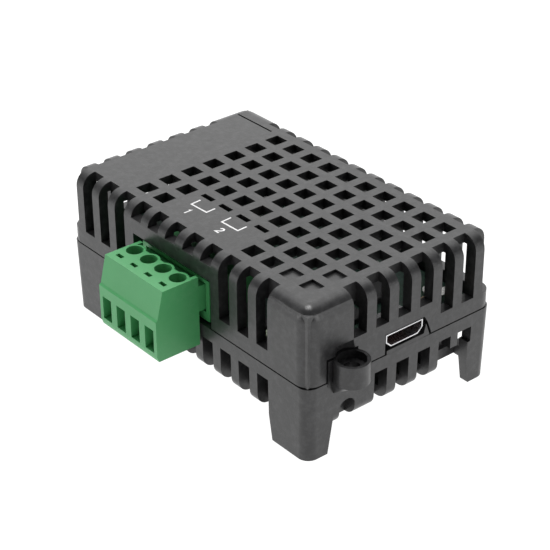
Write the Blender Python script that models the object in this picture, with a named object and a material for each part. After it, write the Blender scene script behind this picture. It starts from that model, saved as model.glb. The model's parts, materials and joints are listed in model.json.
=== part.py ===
# Vented electronics module in a two-part plastic case, with a pluggable
# four-way screw terminal on its long side and a small data socket on one end.
# Frame: +X along the case towards the socket end, -Y towards the terminal,
# +Z up, origin at the middle of the bounding box on the plane the feet rest on.
import math

import bmesh
import bpy

MM = 0.001

# ---- driving dimensions, in millimetres -------------------------------------
PITCH = 4.58            # spacing of the vent grid
HEIGHT = 26.9           # feet to top face
ROW_LO, ROW_HI = -3.29, 10.29   # case ends, in grid rows along X
COL_LO, COL_HI = -1.29, 7.29    # case sides, in grid columns along Y
WALL = 1.9              # case wall
TOP_PLATE = 1.7         # thickness of the top plate
FLOOR_PLATE = 1.9       # thickness of the floor plate
PLAN_RADIUS = 2.6       # vertical corner radius
LOW_RADIUS = 2.0        # vertical corner radius of the lower shell
TOP_FILLET = 2.5        # top edge rounding
FLOOR_FILLET = 2.2      # rounding under the lower shell, between the feet
SLOT = 0.58 * PITCH     # slot width, and how deep a slot cuts in from the face
SQUARE = 0.61 * PITCH   # vent square
DRAFT = 0.25            # inset of the lower shell at its base, per side
SEAM_Z = 13.39          # parting line
SEAM_GAP = 0.12         # half of the gap at the parting line
FLOOR_Z = 4.6           # underside of the floor plate
TERM_WAYS = 4
TERM_PITCH = 3.81       # terminal pitch
TERM_ROW = 3.02         # grid row at the middle of the terminal
BOARD_TOP = 14.3
BOARD_T = 1.6
PIN_Z = 17.75           # height of the terminal pins
PLUG_OUT = 8.75         # how far the plug stands out from the case side
CLEAR = 0.3             # standard gap between pieces

# The plug's front and the case's far side are equally far from the origin.
Y_SHIFT = (PLUG_OUT) / 2.0


def gx(i):
    return (i - 3.5) * PITCH


def gy(j):
    return (j - 3.0) * PITCH + Y_SHIFT


def gz(k):
    return HEIGHT + k * PITCH


X0, X1 = gx(ROW_LO), gx(ROW_HI)
Y0, Y1 = gy(COL_LO), gy(COL_HI)
FRONT_Y = Y0                     # outer face on the terminal side
TERM_X = gx(TERM_ROW)

# ---- fresh start ---------------------------------------------------------------
for old in list(bpy.data.objects):
    bpy.data.objects.remove(old, do_unlink=True)
scene = bpy.context.scene
scene.unit_settings.system = "METRIC"
scene.unit_settings.scale_length = 1.0

main = bpy.data.collections.new("vented_terminal_module")
scene.collection.children.link(main)
tools = bpy.data.collections.new("cutters")
scene.collection.children.link(tools)
tools.hide_render = True


# ---- materials --------------------------------------------------------------------
def material(name, rgb, rough, metal=0.0):
    m = bpy.data.materials.new(name)
    m.use_nodes = True
    b = m.node_tree.nodes["Principled BSDF"]
    b.inputs["Base Color"].default_value = (rgb[0], rgb[1], rgb[2], 1.0)
    b.inputs["Roughness"].default_value = rough
    b.inputs["Metallic"].default_value = metal
    m.diffuse_color = (rgb[0], rgb[1], rgb[2], 1.0)
    return m


# ---- mesh helpers (everything in millimetres, scaled to metres at the end) ---------
def finish(name, bm, mat=None, cutter=False, origin=(0.0, 0.0, 0.0)):
    bmesh.ops.recalc_face_normals(bm, faces=bm.faces)
    bmesh.ops.translate(bm, verts=bm.verts, vec=(-origin[0], -origin[1], -origin[2]))
    bmesh.ops.scale(bm, verts=bm.verts, vec=(MM, MM, MM))
    me = bpy.data.meshes.new(name)
    bm.to_mesh(me)
    bm.free()
    ob = bpy.data.objects.new(name, me)
    ob.location = (origin[0] * MM, origin[1] * MM, origin[2] * MM)
    if cutter:
        tools.objects.link(ob)
        ob.hide_render = True
        ob.display_type = "WIRE"
    else:
        main.objects.link(ob)
        if mat is not None:
            me.materials.append(mat)
    return ob


def add_box(bm, x0, x1, y0, y1, z0, z1):
    r = bmesh.ops.create_cube(bm, size=1.0)
    vs = r["verts"]
    bmesh.ops.scale(bm, verts=vs, vec=(x1 - x0, y1 - y0, z1 - z0))
    bmesh.ops.translate(bm, verts=vs, vec=((x0 + x1) / 2, (y0 + y1) / 2, (z0 + z1) / 2))
    return vs


def add_cyl(bm, x, y, z0, z1, r, seg=24, r_top=None):
    r_top = r if r_top is None else r_top
    res = bmesh.ops.create_cone(bm, cap_ends=True, cap_tris=False, segments=seg,
                                radius1=r, radius2=r_top, depth=z1 - z0)
    bmesh.ops.translate(bm, verts=res["verts"], vec=(x, y, (z0 + z1) / 2))
    return res["verts"]


def add_prism(bm, pts, lo, hi, axis):
    """Extrudes a 2-D outline along axis. axis 0: outline is (y, z); 1: (x, z); 2: (x, y)."""
    def place(p, t):
        if axis == 0:
            return (t, p[0], p[1])
        if axis == 1:
            return (p[0], t, p[1])
        return (p[0], p[1], t)
    a = [bm.verts.new(place(p, lo)) for p in pts]
    b = [bm.verts.new(place(p, hi)) for p in pts]
    bm.faces.new(a)
    bm.faces.new(list(reversed(b)))
    n = len(pts)
    for k in range(n):
        bm.faces.new((a[k], b[k], b[(k + 1) % n], a[(k + 1) % n]))
    return a + b


def rounded_block(bm, x0, x1, y0, y1, z0, z1, plan_r, seg=4, top_r=0.0, top_seg=4,
                  inset_low=0.0):
    """A block with rounded vertical edges, an optional rounded top edge and an optional draft."""
    vs = add_box(bm, x0, x1, y0, y1, z0, z1)
    mine = set(vs)
    vertical = [e for e in bm.edges if e.verts[0] in mine and e.verts[1] in mine
                and abs(e.verts[0].co.z - e.verts[1].co.z) > 1e-6]
    bmesh.ops.bevel(bm, geom=vertical, offset=plan_r, segments=seg, profile=0.5,
                    affect="EDGES", clamp_overlap=False)
    bm.verts.ensure_lookup_table()
    if inset_low > 0.0:
        cx, cy = (x0 + x1) / 2, (y0 + y1) / 2
        sx = (x1 - x0 - 2 * inset_low) / (x1 - x0)
        sy = (y1 - y0 - 2 * inset_low) / (y1 - y0)
        for v in bm.verts:
            if abs(v.co.z - z0) < 1e-6:
                v.co.x = cx + (v.co.x - cx) * sx
                v.co.y = cy + (v.co.y - cy) * sy
    if top_r > 0.0:
        top = [e for e in bm.edges if abs(e.verts[0].co.z - z1) < 1e-6
               and abs(e.verts[1].co.z - z1) < 1e-6]
        bmesh.ops.bevel(bm, geom=top, offset=top_r, segments=top_seg, profile=0.5,
                        affect="EDGES", clamp_overlap=False)


def boolean(ob, tool, op):
    m = ob.modifiers.new(op.lower() + "_" + tool.name, "BOOLEAN")
    m.operation = op
    m.solver = "EXACT"
    m.object = tool
    return m


def cut(ob, name, build):
    bm = bmesh.new()
    build(bm)
    boolean(ob, finish(name, bm, cutter=True), "DIFFERENCE")


def join(ob, name, build):
    bm = bmesh.new()
    build(bm)
    boolean(ob, finish(name, bm, cutter=True), "UNION")


# ---- shared positions ---------------------------------------------------------------
# The case is the same turned half a turn about its middle: each feature at the
# near corner (+X, -Y) has a twin at the far corner (-X, +Y).
MID_X, MID_Y = 0.0, gy(3.0)


def twin(x, y):
    return (2 * MID_X - x, 2 * MID_Y - y)


BOSS = (gx(8.93), gy(0.36))          # case screw posts
BOSS_R = 3.1
POST = (gx(-1.9), gy(0.2))           # board posts
POST_R = 2.5
EAR = (gx(10.64), gy(0.34))          # mounting ears on the case ends
EAR_R, EAR_HOLE_R = 2.85, 1.35
EAR_TOP = gz(-2.13)
EAR_SEAT_R, EAR_SEAT_D = 2.3, 1.4     # pocket for the screw head
IN_X0, IN_X1, IN_Y0, IN_Y1 = X0 + WALL, X1 - WALL, Y0 + WALL, Y1 - WALL

HEAD_W = 17.6                        # terminal header, across the ways
HEAD_Y0 = gy(-1.10)                  # its open front
HEAD_Y1 = HEAD_Y0 + 9.2
HEAD_TOP = gz(-1.28)
HEAD_WALL = 0.95
PORT_Y = gy(3.05)                    # socket middle
PORT_Z0, PORT_Z1 = BOARD_TOP + 0.1, BOARD_TOP + 2.5
PORT_W = 7.8
LOW_TOP = SEAM_Z - SEAM_GAP          # top of the lower shell

# ======================================================================================
# Upper shell
# ======================================================================================
black = material("black_plastic_upper", (0.028, 0.028, 0.03), 0.55)
bm = bmesh.new()
rounded_block(bm, X0, X1, Y0, Y1, SEAM_Z + SEAM_GAP, HEIGHT, PLAN_RADIUS, 4, TOP_FILLET, 4)
upper = finish("housing_upper", bm, black)


def cavity(bm):
    rounded_block(bm, IN_X0, IN_X1, IN_Y0, IN_Y1, SEAM_Z - 2.0, HEIGHT - TOP_PLATE, 0.9, 2)


cut(upper, "upper_cavity", cavity)


def upper_bosses(bm):
    for (x, y) in (BOSS, twin(*BOSS)):
        add_cyl(bm, x, y, SEAM_Z + SEAM_GAP, HEIGHT - TOP_PLATE + 0.8, BOSS_R, 24)


join(upper, "upper_bosses", upper_bosses)


# solid corner behind each ear, the full height of the shell
def corner_blocks(bm):
    a = (gx(9.42), X1 - 0.5, Y0 + 0.5, gy(0.70))
    add_box(bm, a[0], a[1], a[2], a[3], SEAM_Z + SEAM_GAP, HEIGHT - 1.0)
    p, q = twin(a[0], a[2]), twin(a[1], a[3])
    add_box(bm, q[0], p[0], q[1], p[1], SEAM_Z + SEAM_GAP, HEIGHT - 1.0)


join(upper, "upper_corner_blocks", corner_blocks)


# pad under the three blind squares at the near corner
def blind_pad(bm):
    add_prism(bm, [(gx(7.62), Y0 + 0.6), (X1 - 1.0, Y0 + 0.6), (X1 - 1.0, gy(1.38)),
                   (gx(8.62), gy(1.38)), (gx(8.62), gy(0.38)), (gx(7.62), gy(0.38))],
              HEIGHT - 3.4, HEIGHT - TOP_PLATE + 0.6, 2)


join(upper, "upper_blind_pad", blind_pad)

OPEN = 3.0          # how far cutters reach past the faces
LONG_Z = gz(-2.32)
PORT_SIDE_Z = gz(-1.69)
SHORT_Z = gz(-0.47)


def upper_slots(bm):
    h = SLOT / 2
    for i in range(-2, 9):                       # terminal side
        z0 = SHORT_Z if 1 <= i <= 5 else LONG_Z
        add_box(bm, gx(i) - h, gx(i) + h, Y0 - OPEN, Y0 + SLOT, z0, HEIGHT + OPEN)
    for i in range(-1, 10):                      # far side
        add_box(bm, gx(i) - h, gx(i) + h, Y1 - SLOT, Y1 + OPEN, LONG_Z, HEIGHT + OPEN)
    for j in range(1, 7):                        # socket end
        z0 = LONG_Z if j >= 5 else PORT_SIDE_Z
        add_box(bm, X1 - SLOT, X1 + OPEN, gy(j) - h, gy(j) + h, z0, HEIGHT + OPEN)
    for j in range(0, 6):                        # plain end
        z0 = PORT_SIDE_Z if j == 5 else LONG_Z
        add_box(bm, X0 - OPEN, X0 + SLOT, gy(j) - h, gy(j) + h, z0, HEIGHT + OPEN)
    # the two open corners
    add_box(bm, X0 - OPEN, X0 + SLOT, Y0 - OPEN, Y0 + SLOT, LONG_Z, HEIGHT + OPEN)
    add_box(bm, X1 - SLOT, X1 + OPEN, Y1 - SLOT, Y1 + OPEN, LONG_Z, HEIGHT + OPEN)


cut(upper, "upper_slots", upper_slots)


def top_squares(bm):
    h = SQUARE / 2
    for i in range(0, 10):
        for j in range(0, 7):
            if (i, j) in ((8, 0), (9, 0), (9, 1)):
                continue
            if 2 <= i <= 5 and j == 0:
                continue
            y_lo = gy(1.08) if (2 <= i <= 5 and j == 1) else gy(j) - h
            add_box(bm, gx(i) - h, gx(i) + h, y_lo, gy(j) + h,
                    HEIGHT - TOP_PLATE - 1.2, HEIGHT + 1.0)


cut(upper, "upper_squares", top_squares)


def blind_squares(bm):
    h = SQUARE / 2
    for (i, j) in ((8, 0), (9, 0), (9, 1)):
        add_box(bm, gx(i) - h, gx(i) + h, gy(j) - h, gy(j) + h, HEIGHT - 0.5, HEIGHT + 1.0)


cut(upper, "upper_blind_squares", blind_squares)


# openings for the terminal header and the socket, and the narrow groove on top
def upper_openings(bm):
    add_box(bm, gx(0.80), gx(5.26), Y0 - OPEN, IN_Y0 + 0.6, SEAM_Z - 1.0, gz(-1.05))
    add_prism(bm, [(PORT_Y - PORT_W / 2 - 0.25, SEAM_Z - 1.0), (gy(4.32), SEAM_Z - 1.0),
                   (gy(4.28), LOW_TOP + 0.6), (gy(4.10), LOW_TOP + 2.65), (PORT_Y + PORT_W / 2 + 0.25, PORT_Z1 + 0.25),
                   (PORT_Y - PORT_W / 2 - 0.25, PORT_Z1 + 0.25)],
              IN_X1 - 0.6, X1 + OPEN, 0)


cut(upper, "upper_openings", upper_openings)


def ear_recess(bm, x, y, sign):
    # clearance round the sleeve and its pad, and a smaller pocket above for the screw head
    add_cyl(bm, x, y, SEAM_Z - 1.0, EAR_TOP + 0.35, EAR_R + CLEAR, 24)


def ear_recess_upper(bm, x, y, sign):
    add_cyl(bm, x, y, EAR_TOP - 0.3, gz(-1.72), 2.6, 24, 2.35)


def ear_pad_box(x, y, sign, grow):
    xa, xb = x - sign * 2.5, x - sign * 1.53
    ya, yb = y - sign * 3.35, y
    return (min(xa, xb) - grow, max(xa, xb) + grow, min(ya, yb) - grow, max(ya, yb) + grow)


EARS = ((EAR[0], EAR[1], 1.0), (twin(*EAR)[0], twin(*EAR)[1], -1.0))
for n, (ex, ey, es) in enumerate(EARS, 1):
    cut(upper, "ear_recess_%d" % n, lambda b: ear_recess(b, ex, ey, es))
    cut(upper, "ear_head_room_%d" % n, lambda b: ear_recess_upper(b, ex, ey, es))

    def pad_room(b):
        x0, x1, y0, y1 = ear_pad_box(ex, ey, es, CLEAR)
        if es > 0:
            x1 += 2.0
        else:
            x0 -= 2.0
        add_box(b, x0, x1, y0, y1, SEAM_Z - 1.0, EAR_TOP + 0.35)
    cut(upper, "ear_pad_room_%d" % n, pad_room)


def pilot_holes(bm):
    for (x, y) in (BOSS, twin(*BOSS)):
        add_cyl(bm, x, y, SEAM_Z - 1.0, SEAM_Z + 7.5, 1.25, 16)


cut(upper, "upper_pilots", pilot_holes)

# ======================================================================================
# Lower shell
# ======================================================================================
black2 = material("black_plastic_lower", (0.028, 0.028, 0.03), 0.58)
bm = bmesh.new()
rounded_block(bm, X0, X1, Y0, Y1, 0.0, LOW_TOP, LOW_RADIUS, 4, 0.0, 4, inset_low=DRAFT)
lower = finish("housing_lower", bm, black2)

in_low = DRAFT * (1.0 - (FLOOR_Z + FLOOR_PLATE) / LOW_TOP)


def low_cavity(bm):
    rounded_block(bm, IN_X0, IN_X1, IN_Y0, IN_Y1, FLOOR_Z + FLOOR_PLATE, LOW_TOP + 2.0, 0.9, 2,
                  inset_low=DRAFT * 0.55)


cut(lower, "lower_cavity", low_cavity)


def low_posts(bm):
    for (x, y) in (BOSS, twin(*BOSS)):
        add_cyl(bm, x, y, FLOOR_Z + 0.5, LOW_TOP, BOSS_R, 24)


join(lower, "lower_case_posts", low_posts)


def board_posts(bm):
    for (x, y) in (POST, twin(*POST)):
        add_cyl(bm, x, y, FLOOR_Z + 0.5, BOARD_TOP - BOARD_T, POST_R, 20)


join(lower, "lower_board_posts", board_posts)


# ribs under the board
def board_ribs(bm):
    for y in (gy(2.0), gy(4.8)):
        add_box(bm, gx(1.0), gx(6.2), y - 0.6, y + 0.6, FLOOR_Z + 0.7, BOARD_TOP - BOARD_T)


join(lower, "lower_board_ribs", board_ribs)


def arc(cx, cz, r, a0, a1, n):
    out = []
    for k in range(n + 1):
        a = math.radians(a0 + (a1 - a0) * k / n)
        out.append((cx + r * math.cos(a), cz + r * math.sin(a)))
    return out


def inset_at(z):
    return DRAFT * (1.0 - z / LOW_TOP)


# room under the floor between the feet, with rounded shoulders where it meets the sides
def under_profile(lo, hi):
    r = FLOOR_FILLET
    i = inset_at(FLOOR_Z + r)
    lo, hi = lo + i, hi - i
    pts = [(lo - 4.0, -2.0), (lo - 4.0, FLOOR_Z + r)]
    pts += arc(lo + r, FLOOR_Z + r, r, 180, 270, 4)
    pts += arc(hi - r, FLOOR_Z + r, r, 270, 360, 4)
    pts += [(hi + 4.0, FLOOR_Z + r), (hi + 4.0, -2.0)]
    return pts


FOOT_X = 2.0        # foot length along X, in grid pitches
FOOT_Y = 1.12       # foot width along Y, in grid pitches
FOOT_TAPER = 0.7    # how much each foot narrows towards its base


def taper_ends(verts, axis, lo, hi):
    """Widens the cutter towards the floor it stands on, so the feet narrow downwards."""
    for v in verts:
        t = (FLOOR_Z - v.co.z) / FLOOR_Z
        if abs(v.co[axis] - lo) < 1e-4:
            v.co[axis] = lo - FOOT_TAPER * t
        elif abs(v.co[axis] - hi) < 1e-4:
            v.co[axis] = hi + FOOT_TAPER * t


def under_x(bm):
    lo, hi = gx(ROW_LO + FOOT_X), gx(ROW_HI - FOOT_X)
    vs = add_prism(bm, under_profile(Y0, Y1), lo, hi, 0)
    taper_ends(vs, 0, lo, hi)


def under_y(bm):
    lo, hi = gy(COL_LO + FOOT_Y), gy(COL_HI - FOOT_Y)
    vs = add_prism(bm, under_profile(X0, X1), lo, hi, 1)
    taper_ends(vs, 1, lo, hi)


cut(lower, "under_long", under_x)
cut(lower, "under_cross", under_y)


# the foot at the socket end's far corner is only a thin tab, as thick as the wall
TAB = 1.75


def tab_room(bm):
    r = FLOOR_FILLET
    pts = [(gy(5.9), -2.0), (gy(5.9), FLOOR_Z)]
    pts += arc(Y1 - inset_at(FLOOR_Z + r) - r, FLOOR_Z + r, r, 270, 360, 4)
    pts += [(Y1 + 4.0, FLOOR_Z + r), (Y1 + 4.0, -2.0)]
    add_prism(bm, pts, gx(7.9), X1 - DRAFT - TAB, 0)


cut(lower, "tab_room", tab_room)

LOW_SLOT_TOP = gz(-3.49)
LOW_DEEP = SLOT + 0.45
NOTCH_Z = gz(-4.0)
ARCH_Z = gz(-3.98)


def low_slots(bm):
    h = SLOT / 2
    z0, z1 = FLOOR_Z - 2.5, LOW_SLOT_TOP
    for i in range(-1, 9):
        add_box(bm, gx(i) - h, gx(i) + h, Y0 - OPEN, Y0 + LOW_DEEP, z0, z1)
        k = 7 - i
        add_box(bm, gx(k) - h, gx(k) + h, Y1 - LOW_DEEP, Y1 + OPEN, z0, z1)
    add_box(bm, gx(9) - h, gx(9.5), Y1 - LOW_DEEP - 0.6, Y1 + OPEN, z0, z1)
    for j in (2, 3, 4):
        add_box(bm, X1 - LOW_DEEP, X1 + OPEN, gy(j) - h, gy(j) + h, z0, z1)
        add_box(bm, X0 - OPEN, X0 + LOW_DEEP, gy(6 - j) - h, gy(6 - j) + h, z0, z1)


cut(lower, "low_slots", low_slots)


# the two slots next to the back foot run into one wide notch; an arch stands beside the near foot
def low_notch(bm):
    for j in (5, 6):
        h = SLOT / 2
        pts = (X1 - LOW_DEEP, X1 + OPEN, gy(j) - h - (0.35 if j == 6 else 0.0), gy(j) + h)
        add_box(bm, pts[0], pts[1], pts[2], pts[3], NOTCH_Z - 0.5, LOW_SLOT_TOP)
        a, b = twin(pts[0], pts[2]), twin(pts[1], pts[3])
        add_box(bm, b[0], a[0], b[1], a[1], NOTCH_Z - 0.5, LOW_SLOT_TOP)


cut(lower, "low_notch_slots", low_notch)


def low_notch_wide(bm):
    pts = (X1 - LOW_DEEP, X1 + OPEN, gy(4.71), gy(6.17))
    add_box(bm, pts[0], pts[1], pts[2], pts[3], FLOOR_Z - 2.0, NOTCH_Z)
    a, b = twin(pts[0], pts[2]), twin(pts[1], pts[3])
    add_box(bm, b[0], a[0], b[1], a[1], FLOOR_Z - 2.0, NOTCH_Z)


cut(lower, "low_notch_wide", low_notch_wide)


def arch_profile(y0, y1):
    mid = (y0 + y1) / 2
    w = (y1 - y0) / 2
    return ([(y0, FLOOR_Z - 1.6)] + [(mid + w * math.cos(math.radians(a)),
            ARCH_Z - 1.2 + 1.2 * math.sin(math.radians(a))) for a in (180, 150, 120, 90, 60, 30, 0)]
            + [(y1, FLOOR_Z - 1.6)])


def arches(bm):
    y0, y1 = gy(0.16), gy(0.84)
    add_prism(bm, arch_profile(y0, y1), X1 - LOW_DEEP + 0.7, X1 + OPEN, 0)
    (xa, ya), (xb, yb) = twin(X1 - LOW_DEEP + 0.7, y0), twin(X1 + OPEN, y1)
    add_prism(bm, arch_profile(yb, ya), xb, xa, 0)


cut(lower, "arches", arches)


# mounting ears: a sleeve, a pad beside it and a gusset down the wall
def ear_solids(bm, x, y, s):
    add_cyl(bm, x, y, LOW_TOP + 0.05, EAR_TOP, EAR_R, 24)


def ear_gusset(bm, x, y, s):
    vs = []
    for k in range(16):
        a = 2 * math.pi * k / 16
        vs.append(bm.verts.new((x + EAR_R * 0.98 * math.cos(a), y + EAR_R * 0.98 * math.sin(a), LOW_TOP + 0.3)))
    for dy in (-2.2, 2.2):
        for (dx, z) in ((-3.4, LOW_TOP - 0.5), (-3.4, 10.9), (-1.75, 10.9)):
            vs.append(bm.verts.new((x + s * dx, y + dy, z)))
    out = bmesh.ops.convex_hull(bm, input=vs)
    loose = list({g for g in out["geom_interior"] + out["geom_unused"] if isinstance(g, bmesh.types.BMVert)})
    bmesh.ops.delete(bm, geom=loose, context="VERTS")


for n, (ex, ey, es) in enumerate(EARS, 1):
    join(lower, "ear_gusset_%d" % n, lambda b: ear_gusset(b, ex, ey, es))
    join(lower, "ear_sleeve_%d" % n, lambda b: ear_solids(b, ex, ey, es))

    def pad(b):
        x0, x1, y0, y1 = ear_pad_box(ex, ey, es, 0.0)
        add_box(b, x0, x1, y0, y1, LOW_TOP - 0.7, EAR_TOP - 0.05)
    join(lower, "ear_pad_%d" % n, pad)
    cut(lower, "ear_hole_%d" % n, lambda b: add_cyl(b, ex, ey, 4.0, EAR_TOP + 2.0, EAR_HOLE_R, 24))
    cut(lower, "ear_seat_%d" % n, lambda b: add_cyl(
        b, ex, ey, EAR_TOP - EAR_SEAT_D, EAR_TOP + 1.0, EAR_SEAT_R, 24))


# tongue beside the socket
def port_tongue(bm):
    add_prism(bm, [(gy(3.95), LOW_TOP - 0.8), (gy(4.22), LOW_TOP - 0.8), (gy(4.22), LOW_TOP + 0.2),
                   (gy(4.05), LOW_TOP + 2.3), (gy(3.95), LOW_TOP + 0.6)], X1 - WALL + 0.2, X1 - 0.05, 0)


join(lower, "port_tongue", port_tongue)

# the wall rises a little under the socket
join(lower, "port_sill", lambda b: add_box(
    b, X1 - WALL, X1 - 0.02, PORT_Y - 3.75, gy(3.96), LOW_TOP - 0.6, PORT_Z0 - 0.42))


def screw_holes(bm):
    for (x, y) in (BOSS, twin(*BOSS)):
        add_cyl(bm, x, y, FLOOR_Z - 2.0, LOW_TOP + 1.0, 1.45, 16)
    for (x, y) in (POST, twin(*POST)):
        add_cyl(bm, x, y, FLOOR_Z + 2.6, BOARD_TOP, 0.95, 16)


def counterbores(bm):
    for (x, y) in (BOSS, twin(*BOSS)):
        add_cyl(bm, x, y, FLOOR_Z - 2.0, FLOOR_Z + 2.4, 2.5, 20)


cut(lower, "case_counterbores", counterbores)
cut(lower, "case_screw_holes", screw_holes)

# ======================================================================================
# Circuit board and what stands on it
# ======================================================================================
green_board = material("green_solder_mask", (0.02, 0.16, 0.075), 0.35)
B = (IN_X0 + 0.5, IN_X1 - 0.5, IN_Y0 + 0.45, IN_Y1 - 0.45)
NOTCH = 2.2 * PITCH
bm = bmesh.new()
nx = BOSS[0] - BOSS_R - 0.8
ny = BOSS[1] + BOSS_R + 0.8
tx, ty = twin(nx, ny)
add_prism(bm, [(B[0], B[2]), (nx, B[2]), (nx, ny), (B[1], ny), (B[1], B[3]),
               (tx, B[3]), (tx, ty), (B[0], ty)], BOARD_TOP - BOARD_T, BOARD_TOP, 2)
board = finish("circuit_board", bm, green_board)

WAYS = [TERM_X + (k - (TERM_WAYS - 1) / 2) * TERM_PITCH for k in range(TERM_WAYS)]
TAIL_Y = HEAD_Y1 + 1.2        # where each pin turns down into the board


def board_holes(bm):
    for x in WAYS:
        add_cyl(bm, x, TAIL_Y, BOARD_TOP - 3.0, BOARD_TOP + 1.0, 0.85, 12)
    for (x, y) in (POST, twin(*POST)):
        add_cyl(bm, x, y, BOARD_TOP - 3.0, BOARD_TOP + 1.0, 1.3, 16)


cut(board, "board_holes", board_holes)

# data socket: folded metal shell, closed at the back, with an insulating tongue
steel = material("socket_steel", (0.62, 0.62, 0.63), 0.28, 1.0)


def port_outline(w, z0, z1, low_w, shoulder):
    h, l = w / 2, low_w / 2
    return [(PORT_Y - l, z0), (PORT_Y + l, z0), (PORT_Y + h, shoulder), (PORT_Y + h, z1),
            (PORT_Y - h, z1), (PORT_Y - h, shoulder)]


PORT_X1 = X1 - 0.1
PORT_X0 = PORT_X1 - 5.6
bm = bmesh.new()
add_prism(bm, port_outline(PORT_W, PORT_Z0, PORT_Z1, 5.7, PORT_Z0 + 1.0), PORT_X0, PORT_X1, 0)
socket = finish("socket_shell", bm, steel)
cut(socket, "socket_bore", lambda b: add_prism(
    b, port_outline(PORT_W - 0.5, PORT_Z0 + 0.25, PORT_Z1 - 0.25, 5.45, PORT_Z0 + 1.08),
    PORT_X0 + 0.4, PORT_X1 + 1.0, 0))

ins = material("socket_insulator_black", (0.02, 0.02, 0.02), 0.4)
bm = bmesh.new()
add_prism(bm, port_outline(PORT_W - 1.0, PORT_Z0 + 0.5, PORT_Z1 - 0.5, 5.0, PORT_Z0 + 1.15),
          PORT_X0 + 0.55, PORT_X0 + 1.7, 0)
insulator = finish("socket_tongue", bm, ins)
join(insulator, "tongue_plate", lambda b: add_box(
    b, PORT_X0 + 1.2, PORT_X1 - 0.9, PORT_Y - 1.9, PORT_Y + 1.9, PORT_Z1 - 1.05, PORT_Z1 - 0.55))

# terminal header: a trough open towards the plug, with four bent pins
green_dark = material("terminal_green_header", (0.03, 0.21, 0.07), 0.42)
bm = bmesh.new()
add_box(bm, TERM_X - HEAD_W / 2, TERM_X + HEAD_W / 2, HEAD_Y0, HEAD_Y1, BOARD_TOP + 0.05, HEAD_TOP)
header = finish("terminal_header", bm, green_dark)
HEAD_BACK = 1.3
# its front face reaches down past the board's edge, nearly to the lower shell
join(header, "header_skirt", lambda b: add_box(
    b, TERM_X - HEAD_W / 2, TERM_X + HEAD_W / 2, HEAD_Y0, HEAD_Y0 + 1.2, LOW_TOP + 0.25, BOARD_TOP + 0.5))
cut(header, "header_trough", lambda b: add_box(
    b, TERM_X - HEAD_W / 2 + HEAD_WALL, TERM_X + HEAD_W / 2 - HEAD_WALL, HEAD_Y0 - 1.0,
    HEAD_Y1 - HEAD_BACK, BOARD_TOP + 0.85, HEAD_TOP - 0.7))


def header_holes(bm):
    for x in WAYS:
        add_box(bm, x - 0.62, x + 0.62, HEAD_Y1 - HEAD_BACK - 1.0, HEAD_Y1 + 1.0, PIN_Z - 0.62, PIN_Z + 0.62)


cut(header, "header_pin_holes", header_holes)

tin = material("tinned_pin", (0.72, 0.72, 0.70), 0.3, 1.0)
PIN = 0.5
for k, x in enumerate(WAYS, 1):
    bm = bmesh.new()
    # side outline (y, z) of one bent pin, extruded across its width
    t = TAIL_Y
    add_prism(bm, [(HEAD_Y0 + 0.9, PIN_Z - 0.3), (HEAD_Y0 + 1.4, PIN_Z - PIN), (t - PIN, PIN_Z - PIN),
                   (t - PIN, BOARD_TOP - BOARD_T - 1.6), (t + PIN, BOARD_TOP - BOARD_T - 1.6),
                   (t + PIN, PIN_Z + PIN - 0.4), (t + PIN - 0.4, PIN_Z + PIN),
                   (HEAD_Y0 + 1.4, PIN_Z + PIN), (HEAD_Y0 + 0.9, PIN_Z + 0.3)],
              x - PIN, x + PIN, 0)
    finish("header_pin_%d" % k, bm, tin)

# ======================================================================================
# Pluggable terminal
# ======================================================================================
green = material("terminal_green_plug", (0.045, 0.27, 0.095), 0.42)
PLUG_W = 15.3
PLUG_TOP = gz(-1.10)
PLUG_Z0 = gz(-3.80)
PLUG_FRONT = FRONT_Y - PLUG_OUT
PLUG_TOP_FRONT = gy(-2.87)
PLUG_BACK = FRONT_Y - 0.35
STEP_Z = gz(-2.20)
SCREW_Y = gy(-1.91)
px0, px1 = TERM_X - PLUG_W / 2, TERM_X + PLUG_W / 2
bm = bmesh.new()
add_prism(bm, [(PLUG_FRONT + 0.35, PLUG_Z0), (PLUG_BACK, PLUG_Z0), (PLUG_BACK, PLUG_TOP),
               (PLUG_TOP_FRONT, PLUG_TOP), (PLUG_FRONT + 0.35, STEP_Z + 0.3), (PLUG_FRONT, STEP_Z),
               (PLUG_FRONT, PLUG_Z0 + 1.0)], px0, px1, 0)
plug = finish("plug_housing", bm, green)

TAIL_Z0, TAIL_Z1 = BOARD_TOP + 1.15, HEAD_TOP - 1.0
TAIL_END = HEAD_Y1 - HEAD_BACK - 0.5
join(plug, "plug_tail", lambda b: add_box(
    b, px0 + 0.2, px1 - 0.2, PLUG_BACK - 1.5, TAIL_END, TAIL_Z0, TAIL_Z1))


# scalloped back edge behind the screw collars
def plug_back_recess(bm):
    add_box(bm, px0 + 0.75, px1 - 0.75, SCREW_Y + 1.25, PLUG_BACK + 1.0, TAIL_Z1 + 0.35, PLUG_TOP + 1.0)


cut(plug, "plug_back_recess", plug_back_recess)


def plug_collars(bm):
    for x in WAYS:
        add_cyl(bm, x, SCREW_Y, TAIL_Z1 - 0.8, PLUG_TOP, 1.82, 24)


join(plug, "plug_collars", plug_collars)

CAGE_Z0 = PLUG_Z0 + 0.75
CELL_TOP = 17.3
HEAD_R = 1.42


def plug_cells(bm):
    for x in WAYS:
        add_box(bm, x - 1.62, x + 1.62, SCREW_Y - 1.85, SCREW_Y + 1.75, PLUG_Z0 + 0.6, CELL_TOP)


def plug_screw_bores(bm):
    for x in WAYS:
        add_cyl(bm, x, SCREW_Y, 17.75, PLUG_TOP + 1.0, HEAD_R, 24)


def plug_shank_bores(bm):
    for x in WAYS:
        add_cyl(bm, x, SCREW_Y, CELL_TOP - 0.5, 18.2, 1.15, 16)


ENTRY_Z0, ENTRY_Z1 = PLUG_Z0 + 1.45, PLUG_Z0 + 5.55


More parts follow.
